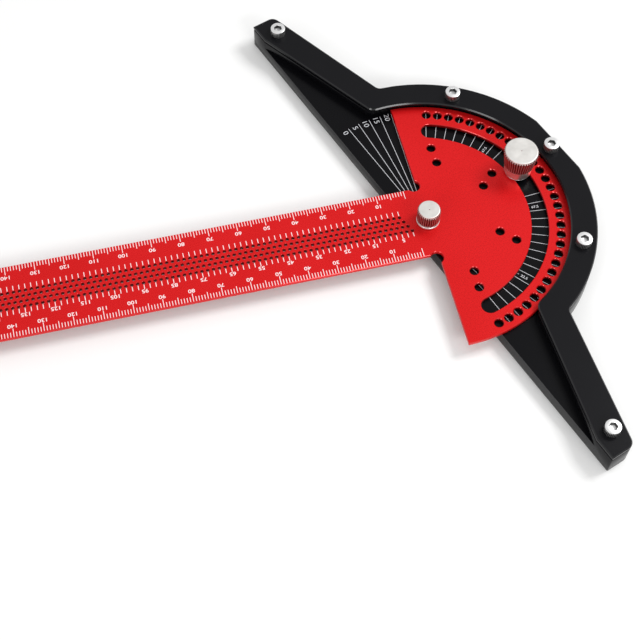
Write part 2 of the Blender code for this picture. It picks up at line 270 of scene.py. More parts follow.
# Camera and lights
CAMERA_LENS = 75.32
CAMERA_SENSOR = 36.0
CAMERA_PLACE = (-0.179184, -0.194190, 0.393040)
CAMERA_RIGHT = (0.834160, -0.551375, 0.012779)
CAMERA_UP = (0.473427, 0.727736, 0.496254)
SKY_STRENGTH = 0.63
PAPER_HALF_SIZE = 3.0
PAPER_DROP = 0.05 * MM

# Softboxes: name, place, width, height and watts
SOFTBOXES = (
    ("key", (0.63, -0.11, 0.77), 0.35, 0.35, 5.1),
    ("front_right", (0.0, -0.82, 0.58), 0.5, 0.22, 2.5),
    ("front_left", (-0.77, -0.28, 0.58), 0.3, 0.22, 1.0),
)


# Outlines


def polar(radius, angle):
    return (radius * math.cos(angle), radius * math.sin(angle))


def arc(centre, radius, start, end, step=FINE_ARC):
    count = max(2, math.ceil(abs(end - start) / step))
    points = []
    for index in range(count + 1):
        x, y = polar(radius, start + (end - start) * index / count)
        points.append((centre[0] + x, centre[1] + y))
    return points


def circle(centre, radius, count):
    return arc(centre, radius, 0.0, 2 * math.pi, 2 * math.pi / count)[:-1]


def unit(start, end):
    length = math.dist(start, end)
    return ((end[0] - start[0]) / length, (end[1] - start[1]) / length)


def fillet(before, corner, after, radius):
    """Points that round the corner between two straight runs."""
    back = unit(corner, before)
    ahead = unit(corner, after)
    half_angle = math.acos(back[0] * ahead[0] + back[1] * ahead[1]) / 2
    middle = unit((0, 0), (back[0] + ahead[0], back[1] + ahead[1]))
    reach = radius / math.sin(half_angle)
    centre = (corner[0] + middle[0] * reach, corner[1] + middle[1] * reach)
    tangent = radius / math.tan(half_angle)
    first = (corner[0] + back[0] * tangent, corner[1] + back[1] * tangent)
    last = (corner[0] + ahead[0] * tangent, corner[1] + ahead[1] * tangent)
    start = math.atan2(first[1] - centre[1], first[0] - centre[0])
    turn = math.atan2(last[1] - centre[1], last[0] - centre[0]) - start
    turn = (turn + math.pi) % (2 * math.pi) - math.pi
    return arc(centre, radius, start, start + turn, abs(turn) / FILLET_STEPS)


def mirrored(half):
    """The half outline with y above 0, and its mirror image before it."""
    return [(x, -y) for x, y in reversed(half)] + half


def arm_root():
    """Where the straight outer edge of an arm meets the ring."""
    stretch = 1 + ARM_OUTER_SLOPE**2
    reach = math.sqrt(RING_RADIUS**2 * stretch - ARM_OUTER_X**2)
    y = (ARM_OUTER_X * ARM_OUTER_SLOPE + reach) / stretch
    return (ARM_OUTER_X - ARM_OUTER_SLOPE * y, y)


def handle_outer_half():
    flat_angle = math.acos(APEX_FLAT_X / RING_RADIUS)
    root = arm_root()
    root_angle = math.atan2(root[1], root[0])
    ring_end = root_angle - RING_EASE
    end_corner = (ARM_OUTER_X - ARM_OUTER_SLOPE * HANDLE_HALF_LENGTH, HANDLE_HALF_LENGTH)
    fence_corner = (FENCE_X, HANDLE_HALF_LENGTH)
    points = arc((0, 0), RING_RADIUS, flat_angle, ring_end)
    points += fillet(polar(RING_RADIUS, ring_end), root, end_corner, ARM_ROOT_RADIUS)
    points += fillet(root, end_corner, fence_corner, ARM_END_RADIUS)
    points.append(fence_corner)
    return points


def inner_half(radius, ledge):
    """From the axis of symmetry round the inside of the ring, and along the arm."""
    root = (ARM_INNER_ROOT[0] - ledge, ARM_INNER_ROOT[1])
    run = (ARM_INNER_END[0] - root[0], ARM_INNER_END[1] - root[1])
    square = run[0] ** 2 + run[1] ** 2
    along = (root[0] * run[0] + root[1] * run[1]) / square
    over = (root[0] ** 2 + root[1] ** 2 - radius**2) / square
    share = math.sqrt(along**2 - over) - along
    corner = (root[0] + share * run[0], root[1] + share * run[1])
    ring_end = math.atan2(corner[1], corner[0]) - RING_EASE
    points = arc((0, 0), radius, FINE_ARC / 2, ring_end)
    points += fillet(polar(radius, ring_end), corner, ARM_INNER_END, ARM_CORNER_RADIUS)
    points.append(ARM_INNER_END)
    return points


def pocket_outline():
    half = inner_half(POCKET_RADIUS, WALL_LEDGE)
    half.append((FENCE_X - OVERSHOOT, ARM_INNER_END[1]))
    return mirrored(half)


def cover_outline():
    inside_edge = mirrored(inner_half(LIP_RADIUS, 0.0))
    return mirrored(handle_outer_half()) + inside_edge[::-1]


def blade_outline():
    cx, cy = NOTCH_CENTRE
    rise = RULER_HALF_WIDTH - cy
    ruler_meet = math.atan2(rise, -math.sqrt(NOTCH_RADIUS**2 - rise**2))
    head_meet = math.atan2(math.sqrt(NOTCH_RADIUS**2 - cx**2), -cx)
    half = arc((0, 0), HEAD_RADIUS, FINE_ARC / 2, math.pi / 2)
    half += arc((cx, cy), NOTCH_RADIUS, head_meet, ruler_meet, COARSE_ARC)
    end_corner = (RULER_END_X, RULER_HALF_WIDTH)
    half += fillet((0, RULER_HALF_WIDTH), end_corner, (RULER_END_X, 0), RULER_END_RADIUS)
    return mirrored(half)


def slot_outline():
    low, high = -SLOT_HALF_ANGLE, SLOT_HALF_ANGLE
    points = arc((0, 0), SLOT_RADIUS + SLOT_HALF_WIDTH, low, high)
    cap = arc(polar(SLOT_RADIUS, high), SLOT_HALF_WIDTH, high, high + math.pi, COARSE_ARC)
    points += cap[1:-1]
    points += arc((0, 0), SLOT_RADIUS - SLOT_HALF_WIDTH, high, low)
    start, end = low + math.pi, low + 2 * math.pi
    cap = arc(polar(SLOT_RADIUS, low), SLOT_HALF_WIDTH, start, end, COARSE_ARC)
    points += cap[1:-1]
    return points


def blade_hole_centres():
    centres = []
    for angle in range(-RIM_HOLE_LAST, RIM_HOLE_LAST + 1, RIM_HOLE_STEP):
        centres.append(polar(RIM_HOLE_RADIUS, math.radians(angle)))
    for x, y in INNER_HOLES:
        centres.append((x * MM, y * MM))
        centres.append((x * MM, -y * MM))
    return centres


def marking_hole_centres():
    centres = []
    for row, y in enumerate(MARKING_ROWS):
        for column in range(MARKING_COLUMNS):
            centres.append((MARKING_FIRST_X - row * MM - column * MARKING_PITCH, y))
    return centres


def screw_centres():
    centres = [polar(RING_SCREW_RADIUS, math.radians(angle)) for angle in RING_SCREW_ANGLES]
    centres.append(ARM_SCREW)
    centres.append((ARM_SCREW[0], -ARM_SCREW[1]))
    return centres


# Mesh tools


def shade(mesh, angle=SMOOTH_ANGLE):
    mesh.shade_smooth()
    mesh.set_sharp_from_angle(angle=angle)


def finish_mesh(name, edit, smooth_angle=SMOOTH_ANGLE):
    bmesh.ops.recalc_face_normals(edit, faces=edit.faces)
    mesh = bpy.data.meshes.new(name)
    edit.to_mesh(mesh)
    edit.free()
    shade(mesh, smooth_angle)
    return mesh


def add_piece(name, mesh, material, body, location=(0, 0, 0)):
    piece = bpy.data.objects.new(name, mesh)
    bpy.context.scene.collection.objects.link(piece)
    mesh.materials.clear()
    mesh.materials.append(material)
    piece.location = location
    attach(piece, body)
    return piece


def turned_left(points):
    """The closed outline, running counter-clockwise."""
    area = 0.0
    for (x0, y0), (x1, y1) in zip(points, points[1:] + points[:1]):
        area += x0 * y1 - x1 * y0
    return points if area > 0 else list(reversed(points))


def shrunk(points, width):
    """A counter-clockwise outline moved inwards by a width, with mitred corners."""
    moved = []
    for index, (x, y) in enumerate(points):
        before = unit(points[index - 1], (x, y))
        after = unit((x, y), points[(index + 1) % len(points)])
        nx, ny = -before[1] - after[1], before[0] + after[0]
        scale = 2 * width / (nx * nx + ny * ny)
        moved.append((x + nx * scale, y + ny * scale))
    return moved


def inside(point, outline):
    """Whether the point lies in the outline, by counting the sides to its right."""
    x, y = point
    found = False
    for (x0, y0), (x1, y1) in zip(outline, outline[1:] + outline[:1]):
        if (y0 > y) != (y1 > y) and x < x0 + (y - y0) * (x1 - x0) / (y1 - y0):
            found = not found
    return found


def cap_triangles(loops):
    """Triangles between an outer outline and its holes, as indices into all their points."""
    points = []
    edges = []
    owner = []
    for number, loop in enumerate(loops):
        start = len(points)
        points += [Vector(point) for point in loop]
        edges += [(start + i, start + (i + 1) % len(loop)) for i in range(len(loop))]
        owner += [number] * len(loop)
    found = delaunay_2d_cdt(points, edges, [], 1, CAP_TOLERANCE)
    came_from = [origins[0] for origins in found[3]]
    triangles = []
    for triangle in found[2]:
        corners = [came_from[i] for i in triangle]
        owners = {owner[i] for i in corners}
        if len(owners) == 1:
            number = owners.pop()
            centre = sum((points[i] for i in corners), Vector((0, 0))) / 3
            if inside(centre, loops[number]) != (number == 0):
                continue
        triangles.append(corners)
    return triangles


def plate_mesh(name, outline, holes, low, high, edge):
    """A plate with holes and chamfered edges. Holes are (outline, chamfer) pairs.

    The walls of the holes get painted shade, the more the lower down.
    """
    loops = [(turned_left(outline), edge)]
    loops += [(turned_left(points), -chamfer) for points, chamfer in holes]
    narrow = [shrunk(points, chamfer) for points, chamfer in loops]
    edit = bmesh.new()
    shadow = edit.verts.layers.float.new("painted_shade")
    top = []
    bottom = []
    for (points, chamfer), inset in zip(loops, narrow):
        depth = abs(chamfer)
        levels = ((inset, high), (points, high - depth), (points, low + depth), (inset, low))
        rings = [[edit.verts.new((x, y, z)) for x, y in ring] for ring, z in levels]
        # Painted shade on the walls of the holes, darkest low down
        if chamfer < 0:
            for ring, painted_shade in zip(rings[1:], HOLE_WALL_SHADOW):
                for corner in ring:
                    corner[shadow] = painted_shade
        for upper, lower in zip(rings, rings[1:]):
            for i in range(len(upper)):
                j = (i + 1) % len(upper)
                edit.faces.new((upper[i], upper[j], lower[j], lower[i]))
        top += rings[0]
        bottom += rings[-1]
    for a, b, c in cap_triangles(narrow):
        edit.faces.new((top[a], top[b], top[c]))
        edit.faces.new((bottom[c], bottom[b], bottom[a]))
    return finish_mesh(name, edit)


def ring_points(radius, shape, teeth, depth, count):
    """One ring of a turned piece, and how much painted shade each of its points gets, by how deep
    in a groove or a socket it is.

    The ring is round, knurled with V grooves, a hexagon in a socket or at its mouth, or a round at
    the knurl's grooves.
    """
    points = []
    depths = []
    for index in range(count):
        angle = 2 * math.pi * index / count
        reach = radius
        painted_shade = 0.0
        if shape in ("knurl", "groove_end"):
            phase = (index * teeth / count) % 1.0
            slant = KNURL_SLANT * min(phase, 1.0 - phase)
            painted_shade = min(1.0, max(RIDGE_SHADE, GROOVE_SHADE - FLANK_FALL * slant))
        if shape == "knurl":
            reach -= depth * max(0.0, 1.0 - slant)
        if shape in ("hex", "hex_mouth"):
            sector = angle % (math.pi / 3) - math.pi / 6
            reach = radius / math.cos(sector)
            painted_shade = float(shape == "hex")
        points.append(polar(reach, angle))
        depths.append(painted_shade)
    return points, depths


def turned_mesh(name, rings, count, teeth=0, depth=0.0, loop=False, smooth_angle=SMOOTH_ANGLE):
    """Rings of (height, radius, shape), from the top round the outside. A loop has no caps."""
    edit = bmesh.new()
    shadow = edit.verts.layers.float.new("painted_shade")
    made = []
    for height, radius, shape in rings:
        ring = []
        for (x, y), painted_shade in zip(*ring_points(radius, shape, teeth, depth, count)):
            corner = edit.verts.new((x, y, height))
            corner[shadow] = painted_shade
            ring.append(corner)
        made.append(ring)
    pairs = list(zip(made, made[1:]))
    if loop:
        pairs.append((made[-1], made[0]))
    for upper, lower in pairs:
        for i in range(count):
            j = (i + 1) % count
            edit.faces.new((upper[i], upper[j], lower[j], lower[i]))
    if not loop:
        edit.faces.new(made[0])
        edit.faces.new(list(reversed(made[-1])))
    return finish_mesh(name, edit, smooth_angle)


def plain_plate(name, outline, low, high):
    """A plate with square edges, for cutting and for being cut."""
    edit = bmesh.new()
    points = turned_left(outline)
    lower = [edit.verts.new((x, y, low)) for x, y in points]
    upper = [edit.verts.new((x, y, high)) for x, y in points]
    for i in range(len(points)):
        j = (i + 1) % len(points)
        edit.faces.new((lower[i], lower[j], upper[j], upper[i]))
    edit.faces.new(upper)
    edit.faces.new(list(reversed(lower)))
    return finish_mesh(name, edit)


def mesh_from(source):
    """The object's mesh with its modifiers applied. The object itself is removed."""
    graph = bpy.context.evaluated_depsgraph_get()
    mesh = bpy.data.meshes.new_from_object(source.evaluated_get(graph))
    bpy.data.objects.remove(source)
    return mesh


def temporary(name, data):
    made = bpy.data.objects.new(name, data)
    bpy.context.scene.collection.objects.link(made)
    return made


def cut_away(mesh, cutter_mesh):
    """The mesh with the cutter's space taken out of it."""
    target = temporary("target", mesh)
    cutter = temporary("cutter", cutter_mesh)
    boolean = target.modifiers.new("cut", "BOOLEAN")
    boolean.operation = "DIFFERENCE"
    boolean.object = cutter
    boolean.solver = "EXACT"
    result = mesh_from(target)
    bpy.data.objects.remove(cutter)
    return result


def softened(mesh, width, segments):
    """The mesh with its sharp outward edges rounded. The inward ones, at a floor, stay sharp."""
    edit = bmesh.new()
    edit.from_mesh(mesh)
    weight = edit.edges.layers.float.new("bevel_weight_edge")
    for edge in edit.edges:
        edge[weight] = float(edge.calc_face_angle_signed() > SHARP_ANGLE)
    edit.to_mesh(mesh)
    edit.free()
    target = temporary("target", mesh)
    bevel = target.modifiers.new("edge", "BEVEL")
    bevel.width = width
    bevel.segments = segments
    bevel.limit_method = "WEIGHT"
    bevel.harden_normals = False
    return mesh_from(target)


def add_bar(edit, start, end, width, low, high):
    """A thin flat bar between two points."""
    (x0, y0), (x1, y1) = start, end
    length = math.dist(start, end)
    place = Matrix.Translation(((x0 + x1) / 2, (y0 + y1) / 2, (low + high) / 2))
    place @= Matrix.Rotation(math.atan2(y1 - y0, x1 - x0), 4, "Z")
    place @= Matrix.Diagonal((length, width, high - low, 1))
    bmesh.ops.create_cube(edit, size=1.0, matrix=place)


def add_label(edit, text, cap_height, place, weight=LABEL_WEIGHT):
    """A number, centred on the place's origin and read along its x axis."""
    font = bpy.data.curves.new("label", "FONT")
    font.body = text
    font.size = cap_height / CAP_SHARE
    font.resolution_u = LABEL_CURVE_STEPS
    font.extrude = MARK_HEIGHT
    font.offset = weight * cap_height
    font.align_x = "CENTER"
    writing = temporary("label", font)
    mesh = mesh_from(writing)
    bpy.data.curves.remove(font)
    mesh.transform(Matrix.Translation((0, -cap_height / 2, 0)))
    mesh.transform(Matrix.Diagonal((NUMERAL_STRETCH, 1, 1, 1)))
    mesh.transform(place)
    edit.from_mesh(mesh)
    bpy.data.meshes.remove(mesh)


def flat_place(x, y, z, angle):
    return Matrix.Translation((x, y, z)) @ Matrix.Rotation(angle, 4, "Z")


# Materials


def new_material(name):
    material = bpy.data.materials.new(name)
    material.use_nodes = True
    return material, material.node_tree, material.node_tree.nodes["Principled BSDF"]


def add_noise(tree, scale, detail=3.0, roughness=0.5):
    place = tree.nodes.get("place") or tree.nodes.new("ShaderNodeTexCoord")
    place.name = "place"
    noise = tree.nodes.new("ShaderNodeTexNoise")
    noise.inputs["Scale"].default_value = scale
    noise.inputs["Detail"].default_value = detail
    noise.inputs["Roughness"].default_value = roughness
    tree.links.new(place.outputs["Object"], noise.inputs["Vector"])
    return noise.outputs["Fac"]


def add_range(tree, value, low, high):
    """The value, a noise, moved to run from low to high."""
    change = tree.nodes.new("ShaderNodeMapRange")
    change.inputs["From Min"].default_value = NOISE_LOW
    change.inputs["From Max"].default_value = NOISE_HIGH
    change.inputs["To Min"].default_value = low
    change.inputs["To Max"].default_value = high
    tree.links.new(value, change.inputs["Value"])
    return change.outputs["Result"]


def add_blend(tree, value, colours):
    """A colour between two, as the value, a noise, says."""
    ramp = tree.nodes.new("ShaderNodeValToRGB")
    ends = zip(ramp.color_ramp.elements, (NOISE_LOW, NOISE_HIGH), colours)
    for element, position, colour in ends:
        element.position = position
        element.color = (*colour, 1)
    tree.links.new(value, ramp.inputs["Fac"])
    return ramp.outputs["Color"]


def add_grime(tree, colour, dark):
    """Painted shade: the colour, multiplied by a dark one where the mesh says a point is deep in a
    groove, a hole or a socket; on the knobs the dark one is red, a painted reflection of the blade.
    """
    painted_shade = tree.nodes.new("ShaderNodeAttribute")
    painted_shade.attribute_name = "painted_shade"
    tint = tree.nodes.new("ShaderNodeValToRGB")
    tint.color_ramp.elements[0].color = (1, 1, 1, 1)
    tint.color_ramp.elements[1].color = (*dark, 1)
    tree.links.new(painted_shade.outputs["Fac"], tint.inputs["Fac"])
    mix = tree.nodes.new("ShaderNodeVectorMath")
    mix.operation = "MULTIPLY"
    tree.links.new(colour, mix.inputs[0])
    tree.links.new(tint.outputs["Color"], mix.inputs[1])
    return mix.outputs["Vector"]


def add_bump(tree, shader, height, strength, distance):
    bump = tree.nodes.new("ShaderNodeBump")
    bump.inputs["Strength"].default_value = strength
    bump.inputs["Distance"].default_value = distance
    tree.links.new(height, bump.inputs["Height"])
    tree.links.new(bump.outputs["Normal"], shader.inputs["Normal"])


def add_edge_mask(tree):
    """0 on level faces, a little on upright ones and 1 on the sloping ones of the edges."""
    geometry = tree.nodes.new("ShaderNodeNewGeometry")
    split = tree.nodes.new("ShaderNodeSeparateXYZ")
    slope = tree.nodes.new("ShaderNodeValToRGB")
    ramp = slope.color_ramp
    ramp.elements[0].position = UPRIGHT_NORMAL
    ramp.elements[0].color = (UPRIGHT_SHARE, UPRIGHT_SHARE, UPRIGHT_SHARE, 1)
    ramp.elements[1].position = LEVEL_NORMAL
    ramp.elements[1].color = (0, 0, 0, 1)
    for position in SLOPING_NORMALS:
        ramp.elements.new(position).color = (1, 1, 1, 1)
    tree.links.new(geometry.outputs["Normal"], split.inputs["Vector"])
    tree.links.new(split.outputs["Z"], slope.inputs["Fac"])
    return slope.outputs["Color"]


def add_mix(tree, factor, first, second):
    """A value between two others, each a number or a socket."""
    mix = tree.nodes.new("ShaderNodeMix")
    tree.links.new(factor, mix.inputs["Factor"])
    for socket, value in (("A", first), ("B", second)):
        if isinstance(value, float):
            mix.inputs[socket].default_value = value
        else:
            tree.links.new(value, mix.inputs[socket])
    return mix.outputs["Result"]


def anodised(name, colours, metallic, specular, rough, dark=GREY_SHADOW):
    """Bead-blasted aluminium under a dyed oxide layer, with shinier machined edges."""
    material, tree, shader = new_material(name)
    shader.inputs["Metallic"].default_value = metallic
    edges = add_edge_mask(tree)
    shine = add_mix(tree, edges, specular, EDGE_SPECULAR)
    tree.links.new(shine, shader.inputs["Specular IOR Level"])
    clouds = add_noise(tree, SKIN_CLOUD_SCALE)
    grain = add_noise(tree, SKIN_GRAIN_SCALE, detail=2.0)
    # Painted shade where the mesh marks it, as on the walls of holes
    colour = add_grime(tree, add_blend(tree, clouds, colours), dark)
    tree.links.new(colour, shader.inputs["Base Color"])
    roughness = add_mix(tree, edges, add_range(tree, grain, *rough), EDGE_ROUGHNESS)
    tree.links.new(roughness, shader.inputs["Roughness"])
    add_bump(tree, shader, grain, strength=0.035, distance=0.00003)
    return material


def turned_metal(name, colours, metallic, rough, dark=GREY_SHADOW):
    """Bright turned metal: concentric tool marks round the piece's own axis."""
    material, tree, shader = new_material(name)
    shader.inputs["Metallic"].default_value = metallic
    clouds = add_noise(tree, METAL_CLOUD_SCALE)
    rings = tree.nodes.new("ShaderNodeTexWave")
    rings.wave_type = "RINGS"
    rings.rings_direction = "Z"
    rings.inputs["Scale"].default_value = TOOL_MARK_SCALE
    rings.inputs["Distortion"].default_value = 0.6
    rings.inputs["Detail"].default_value = 3.0
    rings.inputs["Detail Scale"].default_value = 2.0
    tree.links.new(tree.nodes["place"].outputs["Object"], rings.inputs["Vector"])
    # Painted shade where the mesh marks it, in knurl grooves and sockets; on the knobs it is red, a
    # painted reflection of the blade
    colour = add_grime(tree, add_blend(tree, clouds, colours), dark)
    tree.links.new(colour, shader.inputs["Base Color"])
    tree.links.new(add_range(tree, clouds, *rough), shader.inputs["Roughness"])
    add_bump(tree, shader, rings.outputs["Fac"], strength=0.12, distance=0.00002)
    return material


def laser_white(name, colours):
    """Laser marking: a matt, slightly uneven pale surface."""
    material, tree, shader = new_material(name)
    shader.inputs["Specular IOR Level"].default_value = 0.25
    speckle = add_noise(tree, SPECKLE_SCALE, detail=4.0, roughness=0.7)
    tree.links.new(add_blend(tree, speckle, colours), shader.inputs["Base Color"])
    tree.links.new(add_range(tree, speckle, low=0.5, high=0.7), shader.inputs["Roughness"])
    add_bump(tree, shader, speckle, strength=0.2, distance=0.00002)
    return material


def build_materials():
    """All the materials, by the part of the tool that each is for."""
    return {
        "handle": anodised(
            "black_anodised_skin", BLACK, metallic=0.0, specular=0.12, rough=(0.22, 0.30)
        ),
        "cover": anodised(
            "cover_black_skin", COVER_BLACK, metallic=0.0, specular=0.15, rough=(0.20, 0.27)
        ),
        "blade": anodised(
            "red_anodised_skin",
            RED,
            metallic=0.25,
            specular=0.2,
            rough=(0.25, 0.31),
            dark=RED_SHADOW,
        ),
        "floor_scale": laser_white("floor_marking", FLOOR_MARK_WHITE),
        "blade_scale": laser_white("blade_marking", BLADE_MARK_WHITE),
        "screws": turned_metal("screw_bright", SCREW_STEEL, metallic=0.9, rough=(0.30, 0.38)),
        "knobs": turned_metal(
            "knob_turned", KNOB_METAL, metallic=0.95, rough=(0.38, 0.46), dark=KNURL_SHADE_AND_RED_REFLECTION
        ),
        "washers": turned_metal("washer_bright", WASHER_METAL, metallic=0.7, rough=(0.3, 0.4)),
        "bush": turned_metal("bush_turned_brass", BRASS, metallic=1.0, rough=(0.22, 0.34)),
    }


# Pieces


def build_handle(material):
    block = plain_plate("block", mirrored(handle_outer_half()), BODY_BOTTOM, BODY_TOP)
    pocket = plain_plate("pocket", pocket_outline(), FLOOR_TOP, BODY_TOP + OVERSHOOT)
    mesh = softened(cut_away(block, pocket), BODY_EDGE, BODY_EDGE_STEPS)
    bores = [
        ((0, 0), BUSH_SEAT_RADIUS, FLOOR_TOP - BUSH_SEAT_DEPTH),
        ((0, 0), PIVOT_SHANK_RADIUS + CLEARANCE, KNOB_BORE_BOTTOM),
        ((SLOT_RADIUS, 0), LOCK_SHANK_RADIUS + CLEARANCE, KNOB_BORE_BOTTOM),
    ]
    for centre in screw_centres():
        bores.append((centre, SCREW_SHANK_RADIUS + CLEARANCE, SCREW_BORE_BOTTOM))
    for centre, radius, bottom in bores:
        bore = plain_plate("bore", circle(centre, radius, BORE_SIDES), bottom, BODY_TOP + OVERSHOOT)
        mesh = cut_away(mesh, bore)
    mesh.name = "handle_shell"
    shade(mesh)
    shell = add_piece("handle_shell", mesh, material, "handle")
    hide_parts("handle_body")


def build_floor_scale(material):
    """The lines and figures engraved in the handle's floor, the same on both sides of the axis."""
    edit = bmesh.new()
    low, high = FLOOR_TOP - MARK_HEIGHT, FLOOR_TOP + MARK_HEIGHT
    for side in (1, -1):
        for angles, radii in FLOOR_LINES:
            for angle in angles:
                ends = [polar(radius, math.radians(side * angle)) for radius in radii]
                add_bar(edit, *ends, FLOOR_LINE_WIDTH, low, high)
    for side in (1, -1):
        for angle in FLOOR_LONG_ANGLES:
            radians = math.radians(side * angle)
            x, y = polar(FLOOR_LABEL_RADIUS, radians)
            offset = FLOOR_LABEL_OFFSET * side
            x += offset * math.cos(radians + math.pi / 2)
            y += offset * math.sin(radians + math.pi / 2)
            reading = radians + (math.pi if side > 0 else 0)
            place = flat_place(x, y, FLOOR_TOP, reading)
            add_label(edit, str(90 - angle), FLOOR_LABEL_HEIGHT, place, FLOOR_LABEL_WEIGHT)
        for text, angle in HALF_LABELS:
            radians = math.radians(side * angle)
            ends = [polar(radius, radians) for radius in HALF_DASH]
            add_bar(edit, *ends, FLOOR_LINE_WIDTH, low, high)
            x, y = polar(HALF_LABEL_RADIUS, radians)
            add_label(edit, text, HALF_LABEL_HEIGHT, flat_place(x, y, FLOOR_TOP, radians))
    mesh = finish_mesh("floor_scale", edit)
    add_piece("floor_scale", mesh, material, "handle")


def build_cover(material):
    holes = []
    for centre in screw_centres():
        holes.append((circle(centre, SCREW_HOLE_RADIUS, HOLE_SIDES), COVER_EDGE / 2))
    mesh = plate_mesh("cover_plate", cover_outline(), holes, COVER_BOTTOM, COVER_TOP, COVER_EDGE)
    cover = add_piece("cover_plate", mesh, material, "handle")
    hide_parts("cover_frame")


def build_screws(material):
    low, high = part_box("cover_screw_1")
    bottom = COVER_TOP
    top = high.z
    # The socket's hex walls get dark painted shade; the knurled side gets painted shade, darkest in
    # its grooves
    rings = [
        (top - SOCKET_DEPTH - SOCKET_POINT_DEPTH, SOCKET_POINT_RADIUS, "round"),
        (top - SOCKET_DEPTH, SOCKET_FLAT_RADIUS, "hex"),
        (top - SOCKET_MOUTH_DEPTH, SOCKET_FLAT_RADIUS, "hex"),
        (top, SOCKET_FLAT_RADIUS + SOCKET_MOUTH_WIDTH, "hex_mouth"),
        (top, SCREW_HEAD_RADIUS - SCREW_CHAMFER, "round"),
        (top - SCREW_RIM_DROP, SCREW_HEAD_RADIUS - SCREW_RIM_WIDTH, "round"),
        (top - SCREW_CHAMFER, SCREW_HEAD_RADIUS, "knurl"),
        (bottom + SCREW_BASE_EDGE, SCREW_HEAD_RADIUS, "knurl"),
        (bottom, SCREW_HEAD_RADIUS - SCREW_BASE_EDGE, "round"),
        (bottom, SCREW_SHANK_RADIUS, "round"),
        (low.z, SCREW_SHANK_RADIUS, "round"),
    ]
    mesh = turned_mesh("cap_screw", rings, SCREW_STEPS, SCREW_KNURL_TEETH, SCREW_KNURL_DEPTH)
    for index, (x, y) in enumerate(screw_centres(), 1):
        turned = mesh.copy()
        turned.transform(Matrix.Rotation(SCREW_TURN_STEP * index, 4, "Z"))
        name = f"cap_screw_{index}"
        screw = add_piece(name, turned, material, "handle", (x, y, 0))
        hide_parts(f"cover_screw_{index}")


def build_blade(material):
    holes = [(slot_outline(), BLADE_EDGE)]
    holes.append((circle((0, 0), PIVOT_HOLE_RADIUS, PIVOT_HOLE_SIDES), BLADE_EDGE))
    for centre in blade_hole_centres():
        holes.append((circle(centre, PIN_HOLE_RADIUS, HOLE_SIDES), PIN_HOLE_EDGE))
    for centre in marking_hole_centres():
        holes.append((circle(centre, MARKING_HOLE_RADIUS, MARKING_HOLE_SIDES), MARKING_EDGE))
    mesh = plate_mesh("blade_plate", blade_outline(), holes, BLADE_BOTTOM, BLADE_TOP, BLADE_EDGE)
    mesh.transform(Matrix.Rotation(BLADE_ANGLE, 4, "Z"))
    blade = add_piece("blade_plate", mesh, material, "blade")
    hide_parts("ruler_blade")


def build_blade_scale(material):
    """The blade's millimetre marks, the ticks at its marking holes, and all its figures."""
    edit = bmesh.new()
    low, high = BLADE_TOP - MARK_HEIGHT, BLADE_TOP + MARK_HEIGHT
    edge = RULER_HALF_WIDTH - BLADE_EDGE
    for mark in range(SCALE_LAST + 1):
        x = ZERO_X - mark * MM
        length = MARK_LENGTHS[max(step for step in MARK_LENGTHS if mark % step == 0)]
        for side in (1, -1):
            ends = [(x, side * edge), (x, side * (RULER_HALF_WIDTH - length))]
            add_bar(edit, *ends, MARK_WIDTH, low, high)
    for column in range(MARKING_COLUMNS):
        x = MARKING_FIRST_X - column * MARKING_PITCH
        add_bar(edit, (x, LOWER_TICK[0]), (x, LOWER_TICK[1]), TICK_WIDTH, low, high)
        x -= (len(MARKING_ROWS) - 1) * MM
        add_bar(edit, (x, UPPER_TICK[0]), (x, UPPER_TICK[1]), TICK_WIDTH, low, high)
    for number in range(NUMERAL_STEP, SCALE_LAST + 1, NUMERAL_STEP):
        x = ZERO_X - number * MM
        for y in (UPPER_NUMERAL_Y, LOWER_NUMERAL_Y):
            place = flat_place(x, y, BLADE_TOP, math.pi)
            add_label(edit, str(number), NUMERAL_HEIGHT, place)
    for number in range(HOLE_LABEL_FIRST, 2 * MARKING_COLUMNS, NUMERAL_STEP):
        x = MARKING_FIRST_X - (number - 1) * MM
        place = flat_place(x, HOLE_LABEL_Y, BLADE_TOP, math.pi)
        add_label(edit, str(number), NUMERAL_HEIGHT, place)
    mesh = finish_mesh("blade_scale", edit)
    mesh.transform(Matrix.Rotation(BLADE_ANGLE, 4, "Z"))
    add_piece("blade_scale", mesh, material, "blade")


def thread_rings(top, bottom, radius, pitch):
    """A screw's threaded end as a row of V-shaped crests."""
    rings = []
    height = top
    while height - pitch > bottom:
        rings.append((height, radius - THREAD_CREST, "round"))
        rings.append((height - pitch / 2, radius, "round"))
        height -= pitch
    rings.append((height, radius - THREAD_CREST, "round"))
    rings.append((bottom, radius - 2 * THREAD_CREST, "round"))
    return rings


